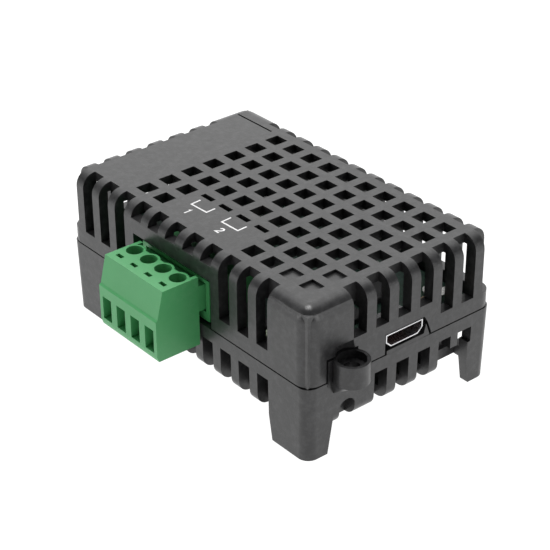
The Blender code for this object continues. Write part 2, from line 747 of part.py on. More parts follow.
def plug_entries(bm):
    for x in WAYS:
        vs = add_box(bm, x - 1.15, x + 1.15, PLUG_FRONT - 1.0, SCREW_Y - 1.5, ENTRY_Z0, ENTRY_Z1)


def plug_test_slots(bm):
    for x in WAYS:
        add_box(bm, x - 0.75, x + 0.75, gy(-2.62), gy(-2.46), PLUG_TOP - 3.0, PLUG_TOP + 1.0)


cut(plug, "plug_cells", plug_cells)
cut(plug, "plug_screw_bores", plug_screw_bores)
cut(plug, "plug_shank_bores", plug_shank_bores)
cut(plug, "plug_entries", plug_entries)
cut(plug, "plug_test_slots", plug_test_slots)


# channel for each contact, from the cell to the pin hole in the tail's end
def plug_channels(bm):
    for x in WAYS:
        add_box(bm, x - 1.25, x + 1.25, SCREW_Y + 1.2, TAIL_END - 0.9, PIN_Z - 1.25, PIN_Z + 1.25)


def plug_risers(bm):
    for x in WAYS:
        add_box(bm, x - 1.25, x + 1.25, SCREW_Y + 1.0, SCREW_Y + 2.12, CAGE_Z0 + 3.4, PIN_Z + 0.4)


def plug_pin_holes(bm):
    for x in WAYS:
        add_box(bm, x - 0.75, x + 0.75, TAIL_END - 2.0, TAIL_END + 1.0, PIN_Z - 0.75, PIN_Z + 0.75)


cut(plug, "plug_channels", plug_channels)
cut(plug, "plug_risers", plug_risers)
cut(plug, "plug_pin_holes", plug_pin_holes)

# clamp pieces, one set for each way
zinc = material("zinc_screw", (0.66, 0.66, 0.64), 0.32, 1.0)
nickel = material("nickel_cage", (0.70, 0.69, 0.66), 0.34, 1.0)
copper = material("tinned_contact", (0.74, 0.70, 0.62), 0.33, 1.0)
SCREW_TOP = 19.25
CAGE_H = 4.9
CAGE_W = 1.42
CAGE_D = 1.55
BAR = 0.8
for k, x in enumerate(WAYS, 1):
    # screw: head with a slot, shank down to the contact
    bm = bmesh.new()
    add_cyl(bm, x, SCREW_Y, 17.85, SCREW_TOP, 1.25, 24)
    s = finish("terminal_screw_%d" % k, bm, zinc, origin=(x, SCREW_Y, 17.85))
    join(s, "screw_shank_%d" % k, lambda b: add_cyl(b, x, SCREW_Y, CAGE_Z0 + 4.05, 18.3, 0.95, 16))
    cut(s, "screw_slot_%d" % k, lambda b: add_box(
        b, x - 0.25, x + 0.25, SCREW_Y - 2.0, SCREW_Y + 2.0, SCREW_TOP - 0.7, SCREW_TOP + 1.0))

    # rising cage: a frame round the contact tongue and the wire
    bm = bmesh.new()
    add_box(bm, x - CAGE_W, x + CAGE_W, SCREW_Y - CAGE_D, SCREW_Y + 1.0, CAGE_Z0, CAGE_Z0 + CAGE_H + BAR)
    c = finish("clamp_cage_%d" % k, bm, nickel, origin=(x, SCREW_Y, CAGE_Z0))
    cut(c, "cage_window_%d" % k, lambda b: add_box(
        b, x - CAGE_W + 0.4, x + CAGE_W - 0.4, SCREW_Y - 3.0, SCREW_Y + 3.0, CAGE_Z0 + BAR, CAGE_Z0 + CAGE_H))
    cut(c, "cage_hole_%d" % k, lambda b: add_cyl(
        b, x, SCREW_Y, CAGE_Z0 + CAGE_H - 0.5, CAGE_Z0 + CAGE_H + BAR + 1.0, 1.1, 16))

    # contact: tongue in the cage, riser, and a square tube that takes the pin
    bm = bmesh.new()
    ty0 = SCREW_Y + 1.35
    add_box(bm, x - 0.85, x + 0.85, SCREW_Y - 1.3, ty0 + 0.45, CAGE_Z0 + 3.55, CAGE_Z0 + 3.95)
    c = finish("plug_contact_%d" % k, bm, copper)
    join(c, "contact_riser_%d" % k, lambda b: add_box(
        b, x - 0.86, x + 0.86, ty0, ty0 + 0.46, CAGE_Z0 + 3.56, PIN_Z + 0.2))
    join(c, "contact_tube_%d" % k, lambda b: add_box(
        b, x - 0.95, x + 0.95, ty0 + 0.1, TAIL_END - 1.2, PIN_Z - 0.95, PIN_Z + 0.95))
    cut(c, "contact_bore_%d" % k, lambda b: add_box(
        b, x - 0.62, x + 0.62, ty0 + 0.7, TAIL_END, PIN_Z - 0.62, PIN_Z + 0.62))

# ======================================================================================
# Screws
# ======================================================================================
dark_steel = material("case_screw_steel", (0.30, 0.30, 0.31), 0.35, 1.0)
for k, (x, y) in enumerate((BOSS, twin(*BOSS)), 1):
    bm = bmesh.new()
    add_cyl(bm, x, y, FLOOR_Z + 0.5, FLOOR_Z + 2.25, 2.2, 20)
    s = finish("case_screw_%d" % k, bm, dark_steel, origin=(x, y, FLOOR_Z + 0.5))
    join(s, "case_screw_shank_%d" % k, lambda b: add_cyl(b, x, y, FLOOR_Z + 1.6, SEAM_Z + 6.0, 1.15, 16))
    cut(s, "case_screw_cross_%d" % k, lambda b: add_box(
        b, x - 0.35, x + 0.35, y - 1.4, y + 1.4, FLOOR_Z - 0.5, FLOOR_Z + 1.3))
    cut(s, "case_screw_cross_b_%d" % k, lambda b: add_box(
        b, x - 1.4, x + 1.4, y - 0.35, y + 0.35, FLOOR_Z - 0.5, FLOOR_Z + 1.31))
for k, (x, y) in enumerate((POST, twin(*POST)), 1):
    bm = bmesh.new()
    add_cyl(bm, x, y, BOARD_TOP + 0.05, BOARD_TOP + 1.45, 2.0, 20)
    s = finish("board_screw_%d" % k, bm, dark_steel, origin=(x, y, BOARD_TOP))
    join(s, "board_screw_shank_%d" % k, lambda b: add_cyl(b, x, y, FLOOR_Z + 3.4, BOARD_TOP + 0.6, 0.8, 14))
    cut(s, "board_screw_slot_%d" % k, lambda b: add_box(
        b, x - 0.3, x + 0.3, y - 3.0, y + 3.0, BOARD_TOP + 0.85, BOARD_TOP + 3.0))

# ======================================================================================
# Components on the board
# ======================================================================================
chip_black = material("chip_black", (0.03, 0.03, 0.032), 0.5)
ceramic = material("capacitor_tan", (0.50, 0.38, 0.24), 0.45)
white_part = material("sensor_white", (0.75, 0.75, 0.73), 0.4)
can = material("crystal_can", (0.70, 0.70, 0.70), 0.25, 1.0)
lamp = material("lamp_clear", (0.75, 0.82, 0.70), 0.2)
ON = BOARD_TOP + 0.05


def chip(name, i, j, w, d, h, mat, bev=0.0, r=0.0):
    x, y = gx(i), gy(j)
    bm = bmesh.new()
    add_box(bm, x - w / 2, x + w / 2, y - d / 2, y + d / 2, ON, ON + h)
    if bev > 0:
        top = [e for e in bm.edges if min(v.co.z for v in e.verts) > ON + h - 1e-6]
        bmesh.ops.bevel(bm, geom=top, offset=bev, segments=1, affect="EDGES")
    return finish(name, bm, mat)


chip("microcontroller", 7.2, 4.1, 7.0, 7.0, 1.0, chip_black, 0.15)
chip("usb_bridge_chip", 8.0, 2.6, 4.0, 4.0, 0.9, chip_black, 0.12)
chip("optocoupler_1", 2.2, 2.1, 4.4, 6.4, 2.0, chip_black, 0.25)
chip("optocoupler_2", 3.8, 2.1, 4.4, 6.4, 2.0, chip_black, 0.25)
chip("voltage_regulator", 5.4, 2.0, 6.5, 3.5, 1.6, chip_black, 0.2)
chip("power_inductor", -0.6, 3.6, 6.0, 6.0, 3.0, chip_black, 0.6)
chip("crystal", 6.0, 5.4, 5.0, 3.2, 1.1, can, 0.25)
chip("climate_sensor", 7.6, 0.6, 3.0, 3.0, 1.0, white_part, 0.1)
chip("status_lamp", 7.0, -0.35, 2.0, 1.25, 0.8, lamp, 0.15)
chip("capacitor_1", 6.6, 1.0, 3.2, 1.6, 1.2, ceramic, 0.0)
chip("capacitor_2", 9.1, 4.9, 1.6, 3.2, 1.2, ceramic, 0.0)
chip("resistor_1", 7.6, 1.7, 3.2, 1.6, 0.6, chip_black, 0.0)
chip("resistor_2", 6.4, 0.1, 3.2, 1.6, 0.6, chip_black, 0.0)

bm = bmesh.new()
add_cyl(bm, gx(1.2), gy(4.6), ON, ON + 5.6, 2.5, 28)
finish("capacitor_can", bm, can)
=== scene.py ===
# Looks of the vented terminal module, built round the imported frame.
import json
import math

import bmesh
import bpy
from mathutils import Matrix, Vector

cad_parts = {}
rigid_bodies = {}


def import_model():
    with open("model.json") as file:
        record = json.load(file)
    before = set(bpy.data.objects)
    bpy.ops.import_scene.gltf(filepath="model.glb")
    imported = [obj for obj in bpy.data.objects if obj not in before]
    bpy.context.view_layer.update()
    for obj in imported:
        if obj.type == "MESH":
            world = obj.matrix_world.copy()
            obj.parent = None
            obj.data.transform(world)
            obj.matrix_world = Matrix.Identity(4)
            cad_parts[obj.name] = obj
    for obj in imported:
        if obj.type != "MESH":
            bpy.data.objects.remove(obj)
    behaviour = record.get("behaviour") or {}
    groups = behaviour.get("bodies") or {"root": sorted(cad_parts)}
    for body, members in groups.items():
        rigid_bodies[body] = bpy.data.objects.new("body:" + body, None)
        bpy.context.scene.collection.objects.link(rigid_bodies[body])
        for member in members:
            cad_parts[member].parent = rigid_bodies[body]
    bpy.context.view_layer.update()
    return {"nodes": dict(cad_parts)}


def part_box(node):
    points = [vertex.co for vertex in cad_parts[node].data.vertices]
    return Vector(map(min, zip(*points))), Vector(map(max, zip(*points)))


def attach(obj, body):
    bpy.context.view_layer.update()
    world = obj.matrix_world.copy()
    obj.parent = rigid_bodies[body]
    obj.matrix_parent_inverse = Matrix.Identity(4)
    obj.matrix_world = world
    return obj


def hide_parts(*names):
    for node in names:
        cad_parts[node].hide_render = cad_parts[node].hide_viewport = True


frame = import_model()
NODES = frame["nodes"]
MM = 0.001

# ---- lengths in millimetres, read from the frame -------------------------------------
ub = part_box("housing_upper")
X0, X1 = ub[0].x / MM, ub[1].x / MM
Y0, Y1 = ub[0].y / MM, ub[1].y / MM
HEIGHT = ub[1].z / MM
PITCH = (X1 - X0) / 13.58
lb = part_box("housing_lower")
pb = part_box("plug_housing")
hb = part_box("terminal_header")
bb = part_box("circuit_board")
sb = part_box("socket_shell")


def gx(i):
    return X0 + (i + 3.29) * PITCH


def gy(j):
    return Y0 + (j + 1.29) * PITCH


def gz(k):
    return HEIGHT + k * PITCH


WALL, TOP_PLATE, FLOOR_PLATE = 1.9, 1.7, 1.9
PLAN_RADIUS, TOP_FILLET, FLOOR_FILLET = 2.6, 2.5, 2.2
SLOT, SQUARE = 0.58 * PITCH, 0.61 * PITCH
DRAFT, FLOOR_Z, CLEAR = 0.25, 4.6, 0.3
LOW_RADIUS, TAB = 2.0, 1.75
UP_Z0 = ub[0].z / MM
SEAM_GAP = 0.12
SEAM_Z = UP_Z0 - SEAM_GAP
LOW_TOP = SEAM_Z - SEAM_GAP
BOARD_TOP, BOARD_Z0 = bb[1].z / MM, bb[0].z / MM
TERM_X = (pb[0].x + pb[1].x) / 2 / MM
TERM_PITCH = 3.81
WAYS = [TERM_X + (k - 1.5) * TERM_PITCH for k in range(4)]
PIN_Z = 17.75
MID_Y = gy(3.0)


def twin(x, y):
    return (-x, 2 * MID_Y - y)


BOSS, BOSS_R = (gx(8.93), gy(0.36)), 3.1
POST, POST_R = (gx(-1.9), gy(0.2)), 2.5
EAR, EAR_R, EAR_HOLE_R, EAR_TOP = (gx(10.64), gy(0.34)), 2.85, 1.35, gz(-2.13)
EARS = ((EAR[0], EAR[1], 1.0), (twin(*EAR)[0], twin(*EAR)[1], -1.0))
IN_X0, IN_X1, IN_Y0, IN_Y1 = X0 + WALL, X1 - WALL, Y0 + WALL, Y1 - WALL

scratch = bpy.data.collections.new("scratch")
bpy.context.scene.collection.children.link(scratch)


# ---- mesh tools (millimetres until bake) --------------------------------------------------
def add_box(bm, x0, x1, y0, y1, z0, z1):
    vs = bmesh.ops.create_cube(bm, size=1.0)["verts"]
    bmesh.ops.scale(bm, verts=vs, vec=(x1 - x0, y1 - y0, z1 - z0))
    bmesh.ops.translate(bm, verts=vs, vec=((x0 + x1) / 2, (y0 + y1) / 2, (z0 + z1) / 2))
    return vs


def add_cyl(bm, x, y, z0, z1, r, seg=32, r_top=None):
    r_top = r if r_top is None else r_top
    vs = bmesh.ops.create_cone(bm, cap_ends=True, cap_tris=False, segments=seg,
                               radius1=r, radius2=r_top, depth=z1 - z0)["verts"]
    bmesh.ops.translate(bm, verts=vs, vec=(x, y, (z0 + z1) / 2))
    return vs


def add_prism(bm, pts, lo, hi, axis):
    def place(p, t):
        return (t, p[0], p[1]) if axis == 0 else (p[0], t, p[1]) if axis == 1 else (p[0], p[1], t)
    a = [bm.verts.new(place(p, lo)) for p in pts]
    b = [bm.verts.new(place(p, hi)) for p in pts]
    bm.faces.new(a)
    bm.faces.new(list(reversed(b)))
    n = len(pts)
    for k in range(n):
        bm.faces.new((a[k], b[k], b[(k + 1) % n], a[(k + 1) % n]))
    return a + b


def rounded_block(bm, x0, x1, y0, y1, z0, z1, plan_r, seg=4, top_r=0.0, top_seg=4, inset_low=0.0):
    vs = add_box(bm, x0, x1, y0, y1, z0, z1)
    mine = set(vs)
    vertical = [e for e in bm.edges if e.verts[0] in mine and e.verts[1] in mine
                and abs(e.verts[0].co.z - e.verts[1].co.z) > 1e-6]
    bmesh.ops.bevel(bm, geom=vertical, offset=plan_r, segments=seg, profile=0.5,
                    affect="EDGES", clamp_overlap=False)
    if inset_low > 0.0:
        cx, cy = (x0 + x1) / 2, (y0 + y1) / 2
        sx = (x1 - x0 - 2 * inset_low) / (x1 - x0)
        sy = (y1 - y0 - 2 * inset_low) / (y1 - y0)
        for v in bm.verts:
            if abs(v.co.z - z0) < 1e-6:
                v.co.x = cx + (v.co.x - cx) * sx
                v.co.y = cy + (v.co.y - cy) * sy
    if top_r > 0.0:
        top = [e for e in bm.edges if abs(e.verts[0].co.z - z1) < 1e-6
               and abs(e.verts[1].co.z - z1) < 1e-6]
        bmesh.ops.bevel(bm, geom=top, offset=top_r, segments=top_seg, profile=0.5,
                        affect="EDGES", clamp_overlap=False)


def arc(cx, cz, r, a0, a1, n):
    return [(cx + r * math.cos(math.radians(a0 + (a1 - a0) * k / n)),
             cz + r * math.sin(math.radians(a0 + (a1 - a0) * k / n))) for k in range(n + 1)]


class Body:
    """One piece made of a base form, then joins and cuts in order, then small rounded edges."""

    def __init__(self, name, build):
        self.name, self.tools = name, []
        self.ob = self._make(name, build)

    def _make(self, name, build):
        bm = bmesh.new()
        build(bm)
        bmesh.ops.recalc_face_normals(bm, faces=bm.faces)
        me = bpy.data.meshes.new(name)
        bm.to_mesh(me)
        bm.free()
        ob = bpy.data.objects.new(name, me)
        scratch.objects.link(ob)
        return ob

    def _op(self, op, build):
        tool = self._make(self.name + "_tool", build)
        m = self.ob.modifiers.new("b", "BOOLEAN")
        m.operation, m.solver, m.object = op, "EXACT", tool
        self.tools.append(tool)
        return self

    def cut(self, build):
        return self._op("DIFFERENCE", build)

    def join(self, build):
        return self._op("UNION", build)

    def bake(self, mats, body, replaces=None, edge=0.12, segments=2, angle=34.0,
             smooth=40.0, pick=None):
        bpy.context.view_layer.update()
        deps = bpy.context.evaluated_depsgraph_get()
        me = bpy.data.meshes.new_from_object(self.ob.evaluated_get(deps))
        bm = bmesh.new()
        bm.from_mesh(me)
        bmesh.ops.remove_doubles(bm, verts=bm.verts, dist=0.002)
        bmesh.ops.dissolve_limit(bm, angle_limit=math.radians(0.6), verts=bm.verts, edges=bm.edges,
                                 use_dissolve_boundaries=False)
        bmesh.ops.recalc_face_normals(bm, faces=bm.faces)
        bm.to_mesh(me)
        bm.free()
        ob = bpy.data.objects.new(self.name, me)
        bpy.context.scene.collection.objects.link(ob)
        if edge > 0:
            bv = ob.modifiers.new("edge", "BEVEL")
            bv.limit_method, bv.angle_limit = "ANGLE", math.radians(angle)
            bv.width, bv.segments, bv.profile = edge, segments, 0.5
            bv.use_clamp_overlap = True
            bv.miter_outer = "MITER_ARC"
            bv.loop_slide = True
            bpy.context.view_layer.update()
            deps = bpy.context.evaluated_depsgraph_get()
            me2 = bpy.data.meshes.new_from_object(ob.evaluated_get(deps))
            ob.modifiers.clear()
            ob.data = me2
        ob.data.transform(Matrix.Scale(MM, 4))
        finish_mesh(ob, mats, smooth, pick)
        wn_mod = ob.modifiers.new("flat_faces", "WEIGHTED_NORMAL")
        wn_mod.keep_sharp, wn_mod.weight = True, 90
        bpy.context.view_layer.update()
        deps = bpy.context.evaluated_depsgraph_get()
        me3 = bpy.data.meshes.new_from_object(ob.evaluated_get(deps))
        ob.modifiers.clear()
        ob.data = me3
        for t in self.tools + [self.ob]:
            bpy.data.objects.remove(t, do_unlink=True)
        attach(ob, body)
        if replaces:
            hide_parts(replaces)
        return ob


def finish_mesh(ob, mats, smooth=40.0, pick=None):
    me = ob.data
    me.materials.clear()
    for m in mats:
        me.materials.append(m)
    if pick:
        for p in me.polygons:
            p.material_index = pick(p.center / MM, p.normal)
    else:
        for p in me.polygons:
            p.material_index = 0
    me.shade_smooth()
    me.set_sharp_from_angle(angle=math.radians(smooth))


# ---- materials ---------------------------------------------------------------------------------
def new_mat(name):
    m = bpy.data.materials.new(name)
    m.use_nodes = True
    nt = m.node_tree
    return m, nt, nt.nodes["Principled BSDF"]


def link(nt, a, b):
    nt.links.new(a, b)


def noise(nt, scale, detail=3.0, rough=0.55, coords=None, dist=0.0):
    n = nt.nodes.new("ShaderNodeTexNoise")
    n.inputs["Scale"].default_value = scale
    n.inputs["Detail"].default_value = detail
    n.inputs["Roughness"].default_value = rough
    n.inputs["Distortion"].default_value = dist
    if coords is not None:
        link(nt, coords, n.inputs["Vector"])
    return n


def ramp(nt, fac, stops):
    r = nt.nodes.new("ShaderNodeValToRGB")
    e = r.color_ramp.elements
    while len(e) < len(stops):
        e.new(0.5)
    for k, (p, c) in enumerate(stops):
        e[k].position = p
        e[k].color = (c[0], c[1], c[2], 1.0)
    link(nt, fac, r.inputs["Fac"])
    return r


def map_range(nt, val, a, b, c, d):
    r = nt.nodes.new("ShaderNodeMapRange")
    r.inputs["From Min"].default_value = a
    r.inputs["From Max"].default_value = b
    r.inputs["To Min"].default_value = c
    r.inputs["To Max"].default_value = d
    link(nt, val, r.inputs["Value"])
    return r


def object_coords(nt):
    return nt.nodes.new("ShaderNodeTexCoord").outputs["Object"]


def moulded(name, dark, light, rough_lo, rough_hi, grain=9000.0, bump=0.25, wear=None, spec=0.5,
            mottling=120.0):
    """Moulded plastic: fine spark-eroded grain, slow mottling of colour and gloss, pale worn edges."""
    m, nt, b = new_mat(name)
    co = object_coords(nt)
    slow = noise(nt, mottling, 4.0, 0.6, co)
    col = ramp(nt, slow.outputs["Fac"], [(0.3, dark), (0.72, light)])
    out = col.outputs["Color"]
    if wear is not None:
        geo = nt.nodes.new("ShaderNodeNewGeometry")
        w = ramp(nt, geo.outputs["Pointiness"], [(0.53, (0, 0, 0)), (0.62, (1, 1, 1))])
        scuff = noise(nt, 900.0, 5.0, 0.7, co)
        s2 = ramp(nt, scuff.outputs["Fac"], [(0.45, (0, 0, 0)), (0.75, (1, 1, 1))])
        mul = nt.nodes.new("ShaderNodeMix")
        mul.data_type, mul.blend_type = "RGBA", "MULTIPLY"
        mul.inputs["Factor"].default_value = 1.0
        link(nt, w.outputs["Color"], mul.inputs["A"])
        link(nt, s2.outputs["Color"], mul.inputs["B"])
        mix = nt.nodes.new("ShaderNodeMix")
        mix.data_type = "RGBA"
        link(nt, mul.outputs["Result"], mix.inputs["Factor"])
        link(nt, out, mix.inputs["A"])
        mix.inputs["B"].default_value = (wear[0], wear[1], wear[2], 1.0)
        out = mix.outputs["Result"]
    link(nt, out, b.inputs["Base Color"])
    gl = noise(nt, 260.0, 4.0, 0.6, co)
    link(nt, map_range(nt, gl.outputs["Fac"], 0.3, 0.7, rough_lo, rough_hi).outputs["Result"],
         b.inputs["Roughness"])
    fine = noise(nt, grain, 3.0, 0.6, co)
    vor = nt.nodes.new("ShaderNodeTexVoronoi")
    vor.inputs["Scale"].default_value = grain * 0.35
    link(nt, co, vor.inputs["Vector"])
    add = nt.nodes.new("ShaderNodeMath")
    add.operation = "ADD"
    link(nt, fine.outputs["Fac"], add.inputs[0])
    link(nt, vor.outputs["Distance"], add.inputs[1])
    bp = nt.nodes.new("ShaderNodeBump")
    bp.inputs["Strength"].default_value = bump
    bp.inputs["Distance"].default_value = 0.00004
    link(nt, add.outputs["Value"], bp.inputs["Height"])
    link(nt, bp.outputs["Normal"], b.inputs["Normal"])
    b.inputs["Specular IOR Level"].default_value = spec
    return m


def metal(name, dark, light, rough_lo, rough_hi, scale=2500.0, stretch=(1, 1, 1), bump=0.1):
    m, nt, b = new_mat(name)
    mp = nt.nodes.new("ShaderNodeMapping")
    mp.inputs["Scale"].default_value = stretch
    link(nt, object_coords(nt), mp.inputs["Vector"])
    n = noise(nt, scale, 4.0, 0.6, mp.outputs["Vector"])
    col = ramp(nt, n.outputs["Fac"], [(0.3, dark), (0.7, light)])
    link(nt, col.outputs["Color"], b.inputs["Base Color"])
    b.inputs["Metallic"].default_value = 1.0
    link(nt, map_range(nt, n.outputs["Fac"], 0.3, 0.7, rough_lo, rough_hi).outputs["Result"],
         b.inputs["Roughness"])
    bp = nt.nodes.new("ShaderNodeBump")
    bp.inputs["Strength"].default_value = bump
    bp.inputs["Distance"].default_value = 0.00002
    link(nt, n.outputs["Fac"], bp.inputs["Height"])
    link(nt, bp.outputs["Normal"], b.inputs["Normal"])
    return m


BLACK = moulded("case_black_grain", (0.0105, 0.0105, 0.011), (0.0135, 0.0135, 0.014), 0.30, 0.38,
                grain=9000.0, bump=0.16, wear=(0.04, 0.04, 0.041), spec=0.60)
BLACK_LOW = moulded("case_black_grain_lower", (0.0115, 0.0115, 0.012), (0.0145, 0.0145, 0.015), 0.32,
                    0.40, grain=9000.0, bump=0.18, wear=(0.04, 0.04, 0.041), spec=0.60)
GREEN = moulded("terminal_green_grain", (0.060, 0.315, 0.105), (0.070, 0.345, 0.12), 0.38, 0.48,
                grain=11000.0, bump=0.12, wear=(0.10, 0.36, 0.15))
GREEN_HEAD = moulded("header_green_grain", (0.055, 0.29, 0.095), (0.065, 0.32, 0.11), 0.36, 0.46,
                     grain=11000.0, bump=0.12, wear=(0.08, 0.30, 0.12))
INK = moulded("print_white_ink", (0.72, 0.72, 0.72), (0.82, 0.82, 0.82), 0.45, 0.55,
              grain=14000.0, bump=0.1)
SOCKET = metal("socket_plated_steel", (0.62, 0.62, 0.63), (0.74, 0.74, 0.75), 0.22, 0.34,
               2200.0, (1, 6, 6))
INSULATOR = moulded("socket_insulator_grain", (0.05, 0.026, 0.024), (0.08, 0.042, 0.038), 0.4, 0.5)
TIN = metal("tin_plate", (0.62, 0.62, 0.60), (0.76, 0.76, 0.73), 0.24, 0.38, 3000.0)
ZINC = metal("zinc_plate", (0.52, 0.52, 0.50), (0.70, 0.70, 0.68), 0.26, 0.42, 1800.0)
NICKEL = metal("nickel_plate", (0.56, 0.55, 0.52), (0.72, 0.70, 0.66), 0.26, 0.40, 2200.0)
DARK_SCREW = metal("dark_steel", (0.10, 0.10, 0.105), (0.19, 0.19, 0.20), 0.30, 0.46, 2000.0)
CHIP = moulded("chip_mould_grain", (0.012, 0.012, 0.013), (0.026, 0.026, 0.028), 0.5, 0.64,
               grain=12000.0, bump=0.3)
TAN = moulded("ceramic_tan_grain", (0.36, 0.25, 0.14), (0.46, 0.34, 0.20), 0.4, 0.55)
WHITE = moulded("sensor_white_grain", (0.62, 0.62, 0.60), (0.74, 0.74, 0.71), 0.4, 0.5)
LAMP = moulded("lamp_resin_grain", (0.56, 0.66, 0.48), (0.68, 0.76, 0.58), 0.12, 0.2, bump=0.05)


# ---- upper shell -----------------------------------------------------------------------------------
OPEN = 3.0
LONG_Z, PORT_SIDE_Z, SHORT_Z = gz(-2.32), gz(-1.69), gz(-0.47)
HS, HQ = SLOT / 2, SQUARE / 2
HX0, HX1, HTOP = hb[0].x / MM, hb[1].x / MM, hb[1].z / MM
PORT_Y = (sb[0].y + sb[1].y) / 2 / MM
PORT_W = (sb[1].y - sb[0].y) / MM
PORT_Z0, PORT_Z1 = sb[0].z / MM, sb[1].z / MM

upper = Body("upper_shell", lambda b: rounded_block(
    b, X0, X1, Y0, Y1, UP_Z0, HEIGHT, PLAN_RADIUS, 8, TOP_FILLET, 7))
upper.cut(lambda b: rounded_block(b, IN_X0, IN_X1, IN_Y0, IN_Y1, SEAM_Z - 2.0, HEIGHT - TOP_PLATE, 0.9, 3))


def f(b):
    for (x, y) in (BOSS, twin(*BOSS)):
        add_cyl(b, x, y, UP_Z0, HEIGHT - TOP_PLATE + 0.8, BOSS_R, 32)


upper.join(f)


def f(b):
    a = (gx(9.42), X1 - 0.5, Y0 + 0.5, gy(0.70))
    add_box(b, a[0], a[1], a[2], a[3], UP_Z0, HEIGHT - 1.0)
    p, q = twin(a[0], a[2]), twin(a[1], a[3])
    add_box(b, q[0], p[0], q[1], p[1], UP_Z0, HEIGHT - 1.0)


upper.join(f)
upper.join(lambda b: add_prism(b, [
    (gx(7.62), Y0 + 0.6), (X1 - 1.0, Y0 + 0.6), (X1 - 1.0, gy(1.38)), (gx(8.62), gy(1.38)),
    (gx(8.62), gy(0.38)), (gx(7.62), gy(0.38))], HEIGHT - 3.4, HEIGHT - TOP_PLATE + 0.6, 2))


def f(b):
    h = HS
    for i in range(-2, 9):
        add_box(b, gx(i) - h, gx(i) + h, Y0 - OPEN, Y0 + SLOT, SHORT_Z if 1 <= i <= 5 else LONG_Z, HEIGHT + OPEN)
    for i in range(-1, 10):
        add_box(b, gx(i) - h, gx(i) + h, Y1 - SLOT, Y1 + OPEN, LONG_Z, HEIGHT + OPEN)
    for j in range(1, 7):
        add_box(b, X1 - SLOT, X1 + OPEN, gy(j) - h, gy(j) + h, LONG_Z if j >= 5 else PORT_SIDE_Z, HEIGHT + OPEN)
    for j in range(0, 6):
        add_box(b, X0 - OPEN, X0 + SLOT, gy(j) - h, gy(j) + h, PORT_SIDE_Z if j == 5 else LONG_Z, HEIGHT + OPEN)
    add_box(b, X0 - OPEN, X0 + SLOT, Y0 - OPEN, Y0 + SLOT, LONG_Z, HEIGHT + OPEN)
    add_box(b, X1 - SLOT, X1 + OPEN, Y1 - SLOT, Y1 + OPEN, LONG_Z, HEIGHT + OPEN)


upper.cut(f)


def f(b):
    for i in range(0, 10):
        for j in range(0, 7):
            if (i, j) in ((8, 0), (9, 0), (9, 1)) or (2 <= i <= 5 and j == 0):
                continue
            lo = gy(1.08) if (2 <= i <= 5 and j == 1) else gy(j) - HQ
            add_box(b, gx(i) - HQ, gx(i) + HQ, lo, gy(j) + HQ, HEIGHT - TOP_PLATE - 1.2, HEIGHT + 1.0)


upper.cut(f)


def f(b):
    for (i, j) in ((8, 0), (9, 0), (9, 1)):
        add_box(b, gx(i) - HQ, gx(i) + HQ, gy(j) - HQ, gy(j) + HQ, HEIGHT - 0.5, HEIGHT + 1.0)


upper.cut(f)


def f(b):
    add_box(b, gx(0.80), gx(5.26), Y0 - OPEN, IN_Y0 + 0.6, SEAM_Z - 1.0, gz(-1.05))
    add_prism(b, [(PORT_Y - PORT_W / 2 - 0.25, SEAM_Z - 1.0), (gy(4.32), SEAM_Z - 1.0),
                  (gy(4.28), LOW_TOP + 0.6), (gy(4.10), LOW_TOP + 2.65), (PORT_Y + PORT_W / 2 + 0.25, PORT_Z1 + 0.25),
                  (PORT_Y - PORT_W / 2 - 0.25, PORT_Z1 + 0.25)], IN_X1 - 0.6, X1 + OPEN, 0)


upper.cut(f)


def ear_pad_box(x, y, sign, grow):
    xa, xb = x - sign * 2.5, x - sign * 1.53
    ya, yb = y - sign * 3.35, y
    return (min(xa, xb) - grow, max(xa, xb) + grow, min(ya, yb) - grow, max(ya, yb) + grow)


for (ex, ey, es) in EARS:
    upper.cut(lambda b: add_cyl(b, ex, ey, SEAM_Z - 1.0, EAR_TOP + 0.35, EAR_R + CLEAR, 40))
    upper.cut(lambda b: add_cyl(b, ex, ey, EAR_TOP - 0.3, gz(-1.72), 2.6, 36, 2.35))

    def f(b):
        x0, x1, y0, y1 = ear_pad_box(ex, ey, es, CLEAR)
        add_box(b, x0 if es > 0 else x0 - 2.0, x1 + 2.0 if es > 0 else x1, y0, y1, SEAM_Z - 1.0, EAR_TOP + 0.35)
    upper.cut(f)


def f(b):
    for (x, y) in (BOSS, twin(*BOSS)):
        add_cyl(b, x, y, SEAM_Z - 1.0, SEAM_Z + 7.5, 1.25, 24)


upper.cut(f)
# thin groove near the far corner of the top
upper.cut(lambda b: add_box(b, gx(-2.75), gx(-0.72), gy(6.32), gy(6.32) + 0.35, HEIGHT - 0.25, HEIGHT + 1.0))
UPPER = upper.bake([BLACK], "case", "housing_upper", edge=0.16, segments=2)

# ---- lower shell -----------------------------------------------------------------------------------
lower = Body("lower_shell", lambda b: rounded_block(
    b, X0, X1, Y0, Y1, 0.0, LOW_TOP, LOW_RADIUS, 8, inset_low=DRAFT))
lower.cut(lambda b: rounded_block(b, IN_X0, IN_X1, IN_Y0, IN_Y1, FLOOR_Z + FLOOR_PLATE, LOW_TOP + 2.0,
                                  0.9, 3, inset_low=DRAFT * 0.55))


def f(b):
    for (x, y) in (BOSS, twin(*BOSS)):
        add_cyl(b, x, y, FLOOR_Z + 0.5, LOW_TOP, BOSS_R, 32)


lower.join(f)


def f(b):
    for (x, y) in (POST, twin(*POST)):
        add_cyl(b, x, y, FLOOR_Z + 0.5, BOARD_Z0, POST_R, 28)


lower.join(f)


def f(b):
    for y in (gy(2.0), gy(4.8)):
        add_box(b, gx(1.0), gx(6.2), y - 0.6, y + 0.6, FLOOR_Z + 0.7, BOARD_Z0)


lower.join(f)


